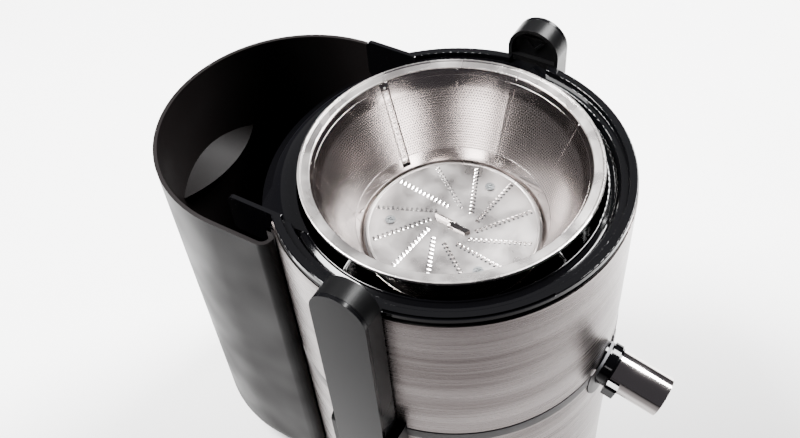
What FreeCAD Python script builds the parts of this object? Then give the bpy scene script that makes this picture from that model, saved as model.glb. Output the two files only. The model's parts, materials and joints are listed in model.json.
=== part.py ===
"""Centrifugal juicer: motor base, lift-off bowl, strainer basket, pulp container and clamp levers.

Millimetres. The drive axis is Z, the table is z = 0, the spout points to -Y and the pulp
container stands on the +Y side. Each function returns one sub-part, which write() exports.
"""
import FreeCAD
import Part
import math
import os

V = FreeCAD.Vector
X_AXIS = V(1, 0, 0)
Y_AXIS = V(0, 1, 0)
Z_AXIS = V(0, 0, 1)

# ---- driving dimensions -------------------------------------------------------------------
BODY_R = 100.0            # outside of the steel shells
SHEET = 0.8               # steel shell thickness
WALL = 2.4                # moulded plastic wall
GAP = 0.3                 # between two bodies, or two pieces of one body, that lie side by side
FIT = 0.06                # radial running clearance of a shaft or sleeve

PLINTH_Z = (4.0, 16.0)    # plastic base ring
SEAM_Z = (153.5, 161.7)   # seam ring, where the bowl lifts off the base
BAND_Z = (162.0, 266.3)   # steel band of the bowl
RING_Z = 272.4            # top of the bowl's black rim ring
RIM_Z = 278.0             # top of the strainer's rolled rim

RING_R = 99.4             # rim ring, outside
RING_IN_R = 94.7          # rim ring, inside edge of its flat top
LIP_R = 84.0              # crest of the bowl's inner lip
BOWL_R = 82.6             # inside wall of the juice bowl
BOWL_FLOOR_Z = 145.0      # lowest point of the juice channel
BOWL_JOIN_R = 88.0        # clear of the bowl wall, where it is parted from the rim
BOWL_JOIN_Z = RING_Z - 13.6  # height of that parting, where the rim is welded on
SLEEVE_END = -14.0        # inner end of the drip stop, along the spout from its seat

RIM_R = 82.5              # strainer rim, outside
CONE_TOP_R = 75.6         # strainer cone, at its rim
CONE_FOOT_R = 51.4        # strainer cone, at the disc
DISC_R = 50.0             # grater disc
DISC_Z = 224.0            # top of the grater disc

SPOUT_Z = 152.0           # spout axis where it crosses the body's outside
SPOUT_TILT = 15.4         # degrees below horizontal
SPOUT_R = 12.5            # outside of the steel tube
SPOUT_END = 39.5          # tube end, along the spout axis from the body's outside
SLEEVE_R = 11.3           # drip-stop sleeve, outside
VALVE_HUB_R = 2.5         # middle of the drip stop, closed on both of its plates
COLLAR_R = 12.9           # collar and boss that carry the spout
SLOT_R = 13.4             # slot in the base that the collar drops into
SADDLE_R = 20.5           # outside of the saddle under the collar

CHUTE_HALF = 70.0         # inside half width between the two cheeks
CHEEK = 2.5               # cheek plate thickness
CHEEK_Y = 97.0            # far edge of the cheeks
LIP_END_R = 104.5         # outer edge of the pulp chute
LIP_END_Z = 258.0

BIN_HALF = 84.5           # pulp container: half width, and radius of its round back
BIN_CENTRE_Y = 104.0
BIN_FRONT_Y = 66.0
BIN_HOLLOW_R = 101.2      # its hollow front wall, which fits round the body
BIN_TOP = 258.0
BIN_NOTCH_TOP = 236.0     # the hollow wall is lower between the tips, under the chute

CLAMP_Y = -1.0            # clamp levers: centre line
CLAMP_W = 32.0
CLAMP_IN_X = 100.6
CLAMP_OUT_X = 114.4
CLAMP_TOP = 275.5         # where the round top starts
PIVOT_X = 107.5
PIVOT_Z = 140.0
PIN_R = 2.5

SHAFT_R = 4.0
DECK_Z = (131.0, 135.0)
TOWER_TOP = 196.0
KNOB_Z = 62.0
KNOB_R = 19.0
COVER_SCREW_R = 82.2      # circle that the bottom cover's screws stand on
DISC_SCREW_R = 36.5       # circle that the grater disc's screws stand on
DISC_SCREW_TURN = -9.0    # degrees from +X to the first of them


# ---- helpers ------------------------------------------------------------------------------
def rounded_wire(corners, place):
    """A closed wire through (u, v, radius) corners, each rounded; place maps a flat point to 3D."""
    points = [V(u, v, 0) for u, v, _ in corners]
    radii = [c[2] for c in corners]
    edges = []
    count = len(points)
    first = None
    last = None
    for i in range(count):
        here = points[i]
        if radii[i] == 0:
            enter = leave = here
            arc = None
        else:
            back = (points[i - 1] - here).normalize()
            ahead = (points[(i + 1) % count] - here).normalize()
            half = back.getAngle(ahead) / 2
            reach = radii[i] / math.tan(half)
            enter = here + back * reach
            leave = here + ahead * reach
            bisector = (back + ahead).normalize()
            middle = here + bisector * (radii[i] / math.sin(half) - radii[i])
            arc = Part.Arc(place(enter), place(middle), place(leave)).toShape()
        if last is not None and (enter - last).Length > 1e-6:
            edges.append(Part.LineSegment(place(last), place(enter)).toShape())
        if arc is not None:
            edges.append(arc)
        if first is None:
            first = enter
        last = leave
    if (first - last).Length > 1e-6:
        edges.append(Part.LineSegment(place(last), place(first)).toShape())
    return Part.Wire(edges)


def revolve(corners, centre=V(0, 0, 0)):
    """A solid of revolution about Z (through centre) of an (r, z, radius) outline."""
    outline = [c if len(c) == 3 else (c[0], c[1], 0) for c in corners]
    face = Part.Face(rounded_wire(outline, lambda p: V(centre.x + p.x, centre.y, p.y)))
    return face.revolve(centre, Z_AXIS, 360)


def prism(corners, z0, z1):
    """An upright prism over an (x, y, radius) outline."""
    face = Part.Face(rounded_wire(corners, lambda p: V(p.x, p.y, z0)))
    return face.extrude(V(0, 0, z1 - z0))


def prism_x(corners, x0, x1):
    """A prism along X over a (y, z, radius) outline."""
    face = Part.Face(rounded_wire(corners, lambda p: V(x0, p.x, p.y)))
    return face.extrude(V(x1 - x0, 0, 0))


def prism_y(corners, y0, y1):
    """A prism along Y over an (x, z, radius) outline."""
    face = Part.Face(rounded_wire(corners, lambda p: V(p.x, y0, p.y)))
    return face.extrude(V(0, y1 - y0, 0))


def cylinder(radius, z0, z1, x=0.0, y=0.0):
    return Part.makeCylinder(radius, z1 - z0, V(x, y, z0), Z_AXIS)


def ring(inner, outer, z0, z1, x=0.0, y=0.0):
    return cylinder(outer, z0, z1, x, y).cut(cylinder(inner, z0 - 1, z1 + 1, x, y))


def rod_x(radius, x0, x1, y, z):
    return Part.makeCylinder(radius, x1 - x0, V(x0, y, z), X_AXIS)


def rod_y(radius, y0, y1, x, z):
    return Part.makeCylinder(radius, y1 - y0, V(x, y0, z), Y_AXIS)


def box(x0, x1, y0, y1, z0, z1):
    return Part.makeBox(x1 - x0, y1 - y0, z1 - z0, V(x0, y0, z0))


def turned(shape, degrees):
    """A copy turned about the drive axis."""
    copy = shape.copy()
    copy.rotate(V(0, 0, 0), Z_AXIS, degrees)
    return copy


def mirrored(shape):
    """The same piece on the +X side."""
    return shape.mirror(V(0, 0, 0), X_AXIS)


def around(count, make, start=0.0):
    """count copies of make(), evenly turned about the drive axis, as separate solids."""
    return [turned(make(), start + 360.0 * i / count) for i in range(count)]


def fused(shapes):
    return shapes[0].multiFuse(shapes[1:]).removeSplitter()


def write(name, shape):
    """Exports one sub-part; a list becomes a group of separate solids."""
    if isinstance(shape, list):
        shape = Part.makeCompound(shape)
    solids = shape.Solids
    bad = [s for s in solids if not s.isValid() or s.Volume <= 0]
    print(f"{name:24s} solids {len(solids)}  volume {shape.Volume / 1000:9.2f} cm3", "BAD" if bad else "")
    if len(solids) == 1:
        shape = solids[0]
    shape.exportStep(f"parts/{name}.step")


# ---- spout axis ---------------------------------------------------------------------------
TILT = math.radians(SPOUT_TILT)
SPOUT_AXIS = V(0, -math.cos(TILT), -math.sin(TILT))
SPOUT_AT = V(0, -BODY_R, SPOUT_Z)


def along_spout(radius, s0, s1):
    """A cylinder on the spout axis; s is measured outwards from the body's outside."""
    return Part.makeCylinder(radius, s1 - s0, SPOUT_AT + SPOUT_AXIS * s0, SPOUT_AXIS)


def spout_tube_shape(inner, outer, s0, s1):
    return along_spout(outer, s0, s1).cut(along_spout(inner, s0 - 1, s1 + 1))


def spout_slot(radius):
    """The open-topped slot that a boss of this radius needs to lift out of the base."""
    hole = along_spout(radius, -20, 20)
    above = box(-radius, radius, -130, -80, SPOUT_Z, SEAM_Z[1] + 20)
    return hole.fuse(above)


def sector_pair(radius, s0, s1, turn):
    """Two opposite quarter sectors of a disc on the spout axis, without its middle."""
    wedges = []
    for start in (turn, turn + 180):
        wedge = Part.makeCylinder(radius, s1 - s0, SPOUT_AT + SPOUT_AXIS * s0, SPOUT_AXIS, 90)
        wedge.rotate(SPOUT_AT, SPOUT_AXIS, start)
        wedges.append(wedge)
    return wedges[0].fuse(wedges[1]).cut(along_spout(VALVE_HUB_R, s0 - 1, s1 + 1))


# ---- motor base ---------------------------------------------------------------------------
def base_ring():
    """Moulded plinth with a groove for the foot ring and a flange for the bottom cover."""
    low, high = PLINTH_Z
    body = revolve([
        (80.0, 9.2), (80.0, 12.0), (88.0, 12.0), (88.0, high), (BODY_R, high),
        (BODY_R, low, 3.0), (97.2, low), (97.2, low + 2), (90.8, low + 2), (90.8, low),
        (86.2, low), (86.2, 9.2),
    ])
    for screw in around(4, lambda: cylinder(1.4, 5, 11.5, COVER_SCREW_R, 0), 45):
        body = body.cut(screw)
    return body


def foot_ring():
    """Non-slip rubber ring that the juicer stands on."""
    return revolve([(91.0, 0, 0.8), (97.0, 0, 0.8), (97.0, 5.9), (91.0, 5.9)])


def bottom_cover():
    """Underside cover with rows of vent slots."""
    cover = cylinder(85.9, 6.4, 9.0)
    for row_r in (30.0, 42.0, 54.0, 66.0):
        length = row_r * 0.33
        for slot in around(12, lambda: box(row_r - 1.5, row_r + 1.5, -length / 2, length / 2, 5, 10)):
            cover = cover.cut(slot)
    for hole in around(4, lambda: cylinder(2.1, 5, 10, COVER_SCREW_R, 0), 45):
        cover = cover.cut(hole)
    return cover


def bottom_screws():
    def screw():
        x = COVER_SCREW_R
        head = cylinder(3.4, 4.6, 6.3, x, 0)
        cross = box(x - 1.6, x + 1.6, -0.35, 0.35, 4, 5.4).fuse(box(x - 0.35, x + 0.35, -1.6, 1.6, 4, 5.4))
        return head.fuse(cylinder(1.35, 6.0, 11.0, x, 0)).cut(cross)
    return around(4, screw, 45)


def side_openings(reach):
    """Holes through the housing and the lower shell for the knob shaft and the cord gland."""
    knob = rod_x(reach, -110, -80, 0, KNOB_Z)
    gland = rod_x(8.2, 80, 110, 0, 30.0)
    return knob.fuse(gland)


def motor_housing():
    """Moulded inner wall of the base, with the deck ledge and a square window behind the gland."""
    outer = BODY_R - SHEET - GAP
    wall = revolve([
        (96.0, PLINTH_Z[1] + 0.1), (outer, PLINTH_Z[1] + 0.1), (outer, SEAM_Z[0] - 0.1),
        (96.0, SEAM_Z[0] - 0.1), (96.0, DECK_Z[0] - 0.1), (90.0, DECK_Z[0] - 0.1),
        (90.0, DECK_Z[0] - 4), (96.0, DECK_Z[0] - 10),
    ])
    window = box(80, 110, -8.4, 8.4, 21.6, 38.4)
    return wall.cut(spout_slot(SADDLE_R + 0.2)).cut(side_openings(8.0)).cut(window)


def lower_steel_shell():
    """Brushed steel sheet wrapped round the base."""
    shell = ring(BODY_R - SHEET, BODY_R, PLINTH_Z[1] + 0.2, SEAM_Z[0] - 0.1)
    return shell.cut(spout_slot(SADDLE_R + 0.2)).cut(side_openings(8.0))


def seam_ring():
    """Ring round the top of the base, with the U-shaped saddle under the spout collar."""
    low, high = SEAM_Z
    band = revolve([
        (93.4, low - 7), (95.7, low - 7), (95.7, low), (BODY_R + 0.4, low, 0.5),
        (BODY_R + 0.4, high, 0.8), (93.4, high),
    ])
    saddle = ring(96.2, BODY_R + 0.8, SPOUT_Z - 30, high)
    saddle = saddle.common(along_spout(SADDLE_R, -25, 25))
    saddle = saddle.common(box(-40, 40, -120, -60, SPOUT_Z - 30, high))
    key_slot = rod_y(1.2, -104, -100.0, -16.7, SPOUT_Z - 3.4)
    key_slot = key_slot.fuse(box(-17.2, -16.2, -104, -99.4, SPOUT_Z - 3.4, SPOUT_Z + 0.6))
    body = band.fuse(saddle).cut(spout_slot(SLOT_R)).cut(key_slot)
    return body.removeSplitter()


def motor_deck():
    """Floor of the recess that the bowl nests in, with the tower that seals the drive shaft."""
    low, high = DECK_Z
    deck = revolve([
        (6.0, low + 45), (6.0, TOWER_TOP), (22.0, TOWER_TOP, 3.0), (28.0, high, 2.0),
        (95.6, high), (95.6, low), (24.5, low), (18.5, TOWER_TOP - 16), (11.2, TOWER_TOP - 16),
        (11.2, low + 45),
    ])
    posts = around(4, lambda: ring(2.2, 6.0, 116.2, low + 1, 36.0, 0), 45)
    return fused([deck] + posts)


def deck_seal():
    """Rubber lip seal on top of the tower, round the shaft."""
    return revolve([
        (SHAFT_R + FIT, TOWER_TOP + 0.1), (SHAFT_R + FIT, TOWER_TOP + 1.4),
        (9.0, TOWER_TOP + 1.4, 0.6), (9.0, TOWER_TOP + 0.1),
    ])


def upper_bearing():
    return ring(SHAFT_R + 0.02, 11.0, TOWER_TOP - 27.5, TOWER_TOP - 20.5)


def lower_bearing():
    return ring(SHAFT_R + 0.02, 11.0, 24.0, 31.0)


def motor_plate(z0, z1, bore, boss):
    """A round end plate of the motor frame, with four ears for the bolts."""
    plate = cylinder(30.0, z0, z1)
    arms = around(4, lambda: box(0, 47, -5.5, 5.5, z0, z1), 45)
    body = fused([plate] + arms + ([cylinder(14.0, z0 - boss, z1)] if boss else []))
    for hole in around(4, lambda: cylinder(2.15, z0 - 1, z1 + 1, 36.0, 0), 45):
        body = body.cut(hole)
    return body.cut(cylinder(bore, z0 - boss - 1, z1 + 1))


def lower_motor_bracket():
    return motor_plate(26.0, 30.0, 11.05, 2.5)


def upper_motor_bracket():
    return motor_plate(108.0, 111.8, 6.0, 0.0)


def motor_mounts():
    """Rubber bushes between the motor frame and the deck posts."""
    return around(4, lambda: ring(2.15, 6.5, 111.9, 116.1, 36.0, 0), 45)


def motor_bolts():
    def bolt():
        return cylinder(3.6, 22.4, 25.9, 36.0, 0).fuse(cylinder(2.0, 25.0, 128.0, 36.0, 0))
    return around(4, bolt, 45)


def stator_core():
    """Laminated two-pole field stack."""
    body = cylinder(44.0, 56.0, 100.0).common(box(-38, 38, -44, 44, 50, 110))
    window = cylinder(34.0, 50, 110).common(box(-13, 13, -40, 40, 50, 110))
    body = body.cut(cylinder(25.6, 50, 110)).cut(window)
    for hole in around(4, lambda: cylinder(6.9, 50, 110, 36.0, 0), 45):
        body = body.cut(hole)
    return body


def stator_coils():
    """Field windings: one flat loop in each of the two windows."""
    def coil(side):
        outer = box(-12, 12, 26.2 * side - 3.0, 26.2 * side + 7.0, 50.0, 106.0)
        return outer.common(ring(26.4, 33.5, 49, 107))
    return [coil(1), turned(coil(1), 180)]


def brush_parts():
    """Holders, carbon brushes and their folded springs, on both sides of the commutator."""
    z = 42.0
    holder = box(17.0, 36.0, -5.0, 5.0, z - 5.5, z + 5.5)
    holder = holder.cut(box(16.0, 34.0, -3.1, 3.1, z - 4.1, z + 4.1))
    foot = box(30.0, 36.0, -5.0, 5.0, 30.1, z - 5)
    brush = box(12.2, 25.0, -3.0, 3.0, z - 4.0, z + 4.0).cut(cylinder(12.2, z - 9, z + 9))
    bends = [(25.2 + 2.1 * i, -2.4 if i % 2 == 0 else 1.6) for i in range(5)]
    strip = [(x, y, 0) for x, y in bends] + [(x, y + 0.8, 0) for x, y in reversed(bends)]
    spring = prism(strip, z - 2.5, z + 2.5)
    pieces = {"brush_holders": holder.fuse(foot), "carbon_brushes": brush, "brush_springs": spring}
    return {name: around(2, lambda: shape) for name, shape in pieces.items()}


def speed_switch():
    """Rotary switch block behind the knob."""
    body = box(-91.0, -64.0, -15.0, 15.0, KNOB_Z - 13, KNOB_Z + 13)
    tabs = [box(-64.1, -58.0, y - 3, y + 3, KNOB_Z - 10, KNOB_Z - 9.2) for y in (-9, 0, 9)]
    return fused([body] + tabs).cut(rod_x(3.0 + FIT, -92, -74, 0, KNOB_Z))


def knob_bezel():
    """Raised ring on the shell, round the knob."""
    disc = rod_x(24.0, -104.0, -96.5, 0, KNOB_Z)
    disc = disc.cut(rod_x(20.0, -105.0, -102.0, 0, KNOB_Z))
    return disc.cut(cylinder(BODY_R + 0.1, 0, 200)).cut(rod_x(3.6, -110, -90, 0, KNOB_Z))


def interlock_switches():
    """Two safety switches inside the housing, level with the clamp pivots."""
    block = box(-88.0, -78.0, -10.0, 10.0, 106.0, 122.0)
    button = rod_x(1.6, -90.0, -87.0, 0, 118.0)
    left = block.fuse(button)
    return [left, mirrored(left)]


def cord_gland():
    """Inlet gland with its clamping nut; it holds no cord."""
    barrel = rod_x(8.0, 92.0, 103.0, 0, 30.0)
    flange = rod_x(11.0, 99.0, 103.0, 0, 30.0).cut(cylinder(BODY_R + 0.1, 0, 100))
    nose = Part.makeCone(8.0, 6.0, 9.0, V(103.0, 0, 30.0), X_AXIS)
    return fused([barrel, flange, nose]).cut(rod_x(3.6, 85, 115, 0, 30.0))


def clamp_bracket():
    """U-shaped pivot bracket of the -X clamp, fixed to the shell."""
    half = CLAMP_W / 2
    low, high = PIVOT_Z - 16, PIVOT_Z + 26
    outline = [(-112.5, low, 6.0), (-112.5, high, 7.0), (-90.0, high, 0), (-90.0, low, 0)]
    block = prism_y(outline, CLAMP_Y - half - 4.9, CLAMP_Y + half + 4.9)
    room = box(-130, -80, CLAMP_Y - half - 0.4, CLAMP_Y + half + 0.4, PIVOT_Z - 7.6, high + 5)
    body = block.cut(room).cut(cylinder(BODY_R + 0.5, 0, 200))
    return body.cut(rod_y(PIN_R + 0.02, -60, 60, -PIVOT_X, PIVOT_Z))


def clamp_pins():
    half = CLAMP_W / 2 + 5.2
    left = rod_y(PIN_R, CLAMP_Y - half, CLAMP_Y + half, -PIVOT_X, PIVOT_Z)
    return [left, mirrored(left)]


# ---- rotor --------------------------------------------------------------------------------
def motor_shaft():
    body = cylinder(SHAFT_R, 22.0, 213.0)
    return body.cut(box(SHAFT_R - 0.8, 10, -10, 10, 198.0, 214.0))


def armature_core():
    """Laminated armature with twelve winding slots."""
    core = ring(SHAFT_R + 0.02, 25.0, 58.0, 98.0)
    for slot in around(12, lambda: box(17.0, 26.0, -1.6, 1.6, 50, 110)):
        core = core.cut(slot)
    return core


def armature_winding():
    """Copper windings: a bundle at each end joined by the turns in the slots."""
    low = ring(SHAFT_R + 0.4, 21.5, 52.0, 57.9)
    high = ring(SHAFT_R + 0.4, 21.5, 98.1, 104.0)
    turns = around(12, lambda: box(17.3, 21.4, -1.4, 1.4, 57.0, 99.0))
    return fused([low, high] + turns)


def commutator():
    body = ring(SHAFT_R + 0.02, 12.0, 34.0, 50.0)
    for slot in around(24, lambda: box(11.2, 13, -0.25, 0.25, 33, 51)):
        body = body.cut(slot)
    return body


def cooling_fan():
    """Radial fan above the motor."""
    hub = ring(SHAFT_R + 0.02, 9.0, 114.0, 127.0)
    plate = ring(8.0, 28.0, 114.0, 115.6)
    blades = around(9, lambda: box(8.5, 28.0, -0.7, 0.7, 115.0, 126.0))
    return fused([hub, plate] + blades)


def drive_coupling():
    """Six-sided driver on top of the shaft."""
    corners = []
    for i in range(6):
        angle = math.radians(60 * i)
        corners.append((12.6 * math.cos(angle), 12.6 * math.sin(angle), 1.5))
    body = prism(corners, 198.6, 217.0)
    bore = cylinder(SHAFT_R + 0.02, 190, 213.1).cut(box(SHAFT_R - 0.78, 10, -10, 10, 190, 214))
    return body.cut(bore)


# ---- bowl ---------------------------------------------------------------------------------
def chute_sector(z0, z1, half):
    """The block of space between the cheeks, on the container side."""
    return box(-half, half, 20.0, 130.0, z0, z1)


def bowl_shell():
    """Rim ring, ledge, shelf, inner lip, bowl wall, floor and centre tower in one moulding."""
    outer = BOWL_R + WALL
    top = RING_Z
    return revolve([
        (RING_IN_R, top, 0.4), (RING_R, top, 0.6), (RING_R, top - 3.3), (98.6, top - 3.3),
        (98.6, top - 5.9), (93.2, top - 5.9), (91.2, top - 12.4, 1.0), (87.2, top - 9.4, 1.0),
        (outer + 0.6, top - 9.0, 1.0), (outer, top - 12),
        (outer, BOWL_FLOOR_Z - WALL, 5.0), (60.0, BOWL_FLOOR_Z - WALL, 3.0), (33.0, 148.6, 2.0),
        (31.0, 190.0, 2.0), (28.5, 201.6, 3.0), (17.3, 201.6), (17.3, 204.0), (31.5, 204.0, 4.0),
        (33.6, 190.0, 2.0), (35.4, 151.5, 3.0), (60.0, BOWL_FLOOR_Z, 5.0),
        (BOWL_R, BOWL_FLOOR_Z, 5.0), (BOWL_R, top - 8.5, 1.2), (LIP_R + 0.6, top - 5.0, 0.7),
        (LIP_R + 1.6, top - 6.6, 0.5), (88.8, top - 8.2, 1.0), (90.6, top - 3.4, 0.4),
        (RING_IN_R - 0.3, top - 3.4, 0.3),
    ])


def pulp_chute():
    """Lip that slopes from the bowl out over the container, and the two cheeks beside it."""
    inner_z = RING_Z - 5.2
    slope = revolve([
        (LIP_R - 0.2, inner_z, 0.6), (95.5, inner_z - 1.4, 12.0), (LIP_END_R, LIP_END_Z + 0.2, 0.5),
        (LIP_END_R - 0.6, LIP_END_Z - 2.2, 0.4), (94.0, inner_z - 5.0, 8.0),
        (LIP_R + 1.0, inner_z - 5.0, 0), (BOWL_R, inner_z - 3.6, 0.6),
    ])
    lip = slope.common(chute_sector(200, 300, CHUTE_HALF + 1))
    outline = [
        (62.0, RING_Z, 1.0), (CHEEK_Y, RING_Z, 4.0), (CHEEK_Y, 246.0, 3.0), (73.2, 246.0, 2.0),
        (73.2, 258.6, 0), (62.0, 258.6, 0),
    ]
    pieces = [lip]
    for x0 in (-CHUTE_HALF - CHEEK, CHUTE_HALF):
        pieces.append(prism_x(outline, x0, x0 + CHEEK))
    return pieces


def bowl_moulding():
    """Shell and chute together, before they are parted into the bowl and its rim."""
    shell = bowl_shell()
    gap = chute_sector(BOWL_JOIN_Z, 300, CHUTE_HALF + 0.5)
    shell = shell.cut(gap.cut(cylinder(BOWL_R + 0.7, 200, 300)))
    return fused([shell] + pulp_chute())


def juice_bowl():
    """The bowl below its rim, with the plate and two quarter ports behind the drip stop."""
    body = bowl_moulding().common(cylinder(BOWL_JOIN_R, 0, BOWL_JOIN_Z))
    plate = along_spout(SLEEVE_R + GAP, -17.0, SLEEVE_END)
    body = body.fuse(plate.cut(cylinder(BOWL_R + 0.5, 0, 300)))
    body = body.cut(along_spout(SLEEVE_R + GAP, SLEEVE_END, 5))
    return body.cut(sector_pair(SLEEVE_R - 0.8, -24.0, -13.0, 45)).removeSplitter()


def bowl_rim():
    """Rim ring with its ledge, lip and cheeks, welded on top of the bowl wall."""
    body = bowl_moulding().cut(cylinder(BOWL_JOIN_R, 0, BOWL_JOIN_Z))
    for x0 in (-120, 70):
        body = body.cut(box(x0, x0 + 50, CLAMP_Y - 12, CLAMP_Y + 12, RING_Z - 3.4, 300))
    rebate = ring(RING_R - 1.1, RING_R + 1, RING_Z - 1.2, RING_Z + 1)
    quarter = Part.makeCylinder(120, 20, V(0, 0, RING_Z - 10), Z_AXIS, 50)
    return body.cut(rebate.common(turned(quarter, 189))).removeSplitter()


def spout_boss():
    """Short tube welded to the bowl wall, in which the drip stop turns."""
    tube = along_spout(COLLAR_R, -17.0, -2.2).cut(along_spout(SLEEVE_R + GAP, -24.0, 5))
    return tube.cut(cylinder(BOWL_R + WALL, 0, 300))


def band_openings(shape, radius):
    """Cuts the chute opening and the spout hole out of the casing or the band."""
    chute = chute_sector(BAND_Z[1] - 9.9, 300, CHUTE_HALF + CHEEK + GAP)
    return shape.cut(chute).cut(along_spout(radius, -30, 10))


def bowl_casing():
    """Plastic wall between the bowl and its steel band."""
    outer = BODY_R - SHEET - 0.1
    wall = revolve([
        (96.6, BAND_Z[0] + 0.1), (outer, BAND_Z[0] + 0.1), (outer, BAND_Z[1]), (96.6, BAND_Z[1]),
    ])
    return band_openings(wall, COLLAR_R + GAP)


def bowl_steel_band():
    """Brushed steel sheet round the bowl."""
    return band_openings(ring(BODY_R - SHEET, BODY_R, BAND_Z[0], BAND_Z[1]), COLLAR_R + GAP)


def bowl_seal():
    """Silicone ring on the bowl's tower, under the basket hub."""
    return revolve([(18.4, 204.1), (18.4, 205.4, 0.5), (22.0, 205.0, 0.5), (22.0, 204.1)])


def spout_collar():
    """Collar on the body that the spout turns in; its top is squared off."""
    body = along_spout(COLLAR_R, -0.4, 5.2)
    crown = box(-9.0, 9.0, -110, -95, SPOUT_Z + 4, SPOUT_Z + 14.5)
    crown = crown.common(along_spout(30.0, 0.4, 5.2)).cut(cylinder(BODY_R + 0.2, 0, 300))
    crown = crown.common(along_spout(14.6, -5, 10))
    return body.fuse(crown).cut(along_spout(SLEEVE_R + FIT, -5, 10)).removeSplitter()


def spout_seal():
    """Silicone ring round the sleeve, between the boss and the collar."""
    return spout_tube_shape(SLEEVE_R + FIT, COLLAR_R - 0.1, -2.1, -0.5)


# ---- spout --------------------------------------------------------------------------------
def spout_tube():
    tube = spout_tube_shape(SPOUT_R - 0.9, SPOUT_R, 6.9, SPOUT_END)
    tube = tube.fuse(spout_tube_shape(SLEEVE_R + 0.02, SPOUT_R - 0.5, 6.9, 11.2)).removeSplitter()
    rim = [e for e in tube.Edges if abs(e.BoundBox.YMin + BODY_R + SPOUT_END * math.cos(TILT)) < 5]
    return tube.makeFillet(0.3, rim)


def spout_valve():
    """Sleeve that turns in the collar; its inner end has two closed quarters that shut the ports."""
    sleeve = spout_tube_shape(SLEEVE_R - 1.0, SLEEVE_R, -13.4, 11.0)
    hub = along_spout(VALVE_HUB_R + 0.1, -13.4, -12.2)
    return fused([sleeve, sector_pair(SLEEVE_R - 0.5, -13.4, -12.2, -45), hub])


def spout_lever():
    """Flange between collar and tube, with the thumb tab that turns the spout."""
    flange = spout_tube_shape(SLEEVE_R + 0.02, SPOUT_R + 0.4, 5.6, 6.8)
    tab = [(-17.4, -5.0, 1.6), (-17.4, 5.0, 1.6), (-12.7, 5.0, 0), (-12.7, -5.0, 0)]
    start, length = 6.5, 7.1
    face = Part.Face(rounded_wire(tab, lambda p: V(p.x, p.y, start)))
    block = face.extrude(V(0, 0, length)).cut(cylinder(SPOUT_R + 0.05, 6.8, 30))
    block.Placement = FreeCAD.Placement(SPOUT_AT, FreeCAD.Rotation(X_AXIS, 90 + SPOUT_TILT))
    return flange.fuse(block).removeSplitter()


# ---- strainer basket ----------------------------------------------------------------------
def strainer_rim():
    """Rolled steel rim with a flat top and a raised bead at its outer edge."""
    z = RIM_Z
    return revolve([
        (75.9, z - 0.9, 0.3), (80.5, z - 0.7, 0.2), (81.0, z, 0.3), (RIM_R, z, 0.6),
        (RIM_R, z - 2.0, 0.6), (81.2, z - 2.0, 0.3), (80.6, z - 1.5, 0.2), (75.9, z - 1.7, 0),
    ])


def strainer_mesh():
    """Perforated cone wall, as one closed sheet."""
    top, foot, sheet = RIM_Z - 1.8, DISC_Z - 1.4, 0.6
    return revolve([
        (CONE_TOP_R, top), (CONE_TOP_R + sheet, top), (CONE_FOOT_R + sheet, foot), (CONE_FOOT_R, foot),
    ])


def strainer_foot():
    """Pressed steel foot: a bright flange round the basket's bottom, and a short skirt."""
    z = DISC_Z - 1.5
    return revolve([
        (17.0, z - 1.2), (17.0, z), (54.4, z, 0.3), (54.4, z - 1.0, 0.3), (50.6, z - 1.0, 0.4),
        (50.2, z - 10, 0), (49.4, z - 10, 0), (49.4, z - 1.2, 0.4),
    ])


def grater_disc():
    """Disc with a raised edge and three dimples for its screws."""
    z = DISC_Z
    disc = revolve([
        (3.2, z - 1.3), (3.2, z - 0.5), (48.6, z - 0.5, 0.3), (49.0, z + 0.2, 0.2), (DISC_R, z + 0.2, 0.3),
        (DISC_R, z - 1.3),
    ])
    for hole in around(3, lambda: cylinder(2.0, z - 3, z + 2, DISC_SCREW_R, 0), DISC_SCREW_TURN):
        disc = disc.cut(hole)
    return disc


def grater_blade():
    """Centre blade: two offset faceted half bars on a round foot."""
    z = DISC_Z - 0.5
    half = [(-12.0, 0, 0), (-9.5, 2.4, 0), (0.4, 2.4, 0), (0.4, -0.1, 0)]
    bar = prism(half, z + 0.02, z + 3.4)
    chamfer = prism_x([(-1.0, z + 0.6, 0), (-1.0, z + 5, 0), (4.0, z + 5, 0)], -14, 14)
    bar = bar.cut(chamfer.mirror(V(0, 1.2, 0), Y_AXIS))
    foot = cylinder(3.1, z - 0.7, z + 0.1)
    return turned(fused([bar, turned(bar, 180), foot]), 85)


def grater_screws():
    def screw():
        x, z = DISC_SCREW_R, DISC_Z
        head = Part.makeCone(1.9, 3.0, 1.0, V(x, 0, z - 0.6), Z_AXIS)
        cross = box(x - 1.6, x + 1.6, -0.3, 0.3, z - 0.2, z + 2)
        cross = cross.fuse(box(x - 0.3, x + 0.3, -1.6, 1.6, z - 0.2, z + 2))
        return head.cut(cross)
    return around(3, screw, DISC_SCREW_TURN)


def strainer_hub():
    """Moulded hub under the basket, with a six-sided pocket for the drive coupling."""
    corners = []
    for i in range(6):
        angle = math.radians(60 * i)
        corners.append((13.0 * math.cos(angle), 13.0 * math.sin(angle), 1.7))
    hub = cylinder(16.4, 206.0, DISC_Z - 2.8).fuse(cylinder(38.0, DISC_Z - 5.4, DISC_Z - 2.8))
    return hub.cut(prism(corners, 200.0, 218.0)).removeSplitter()


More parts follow.
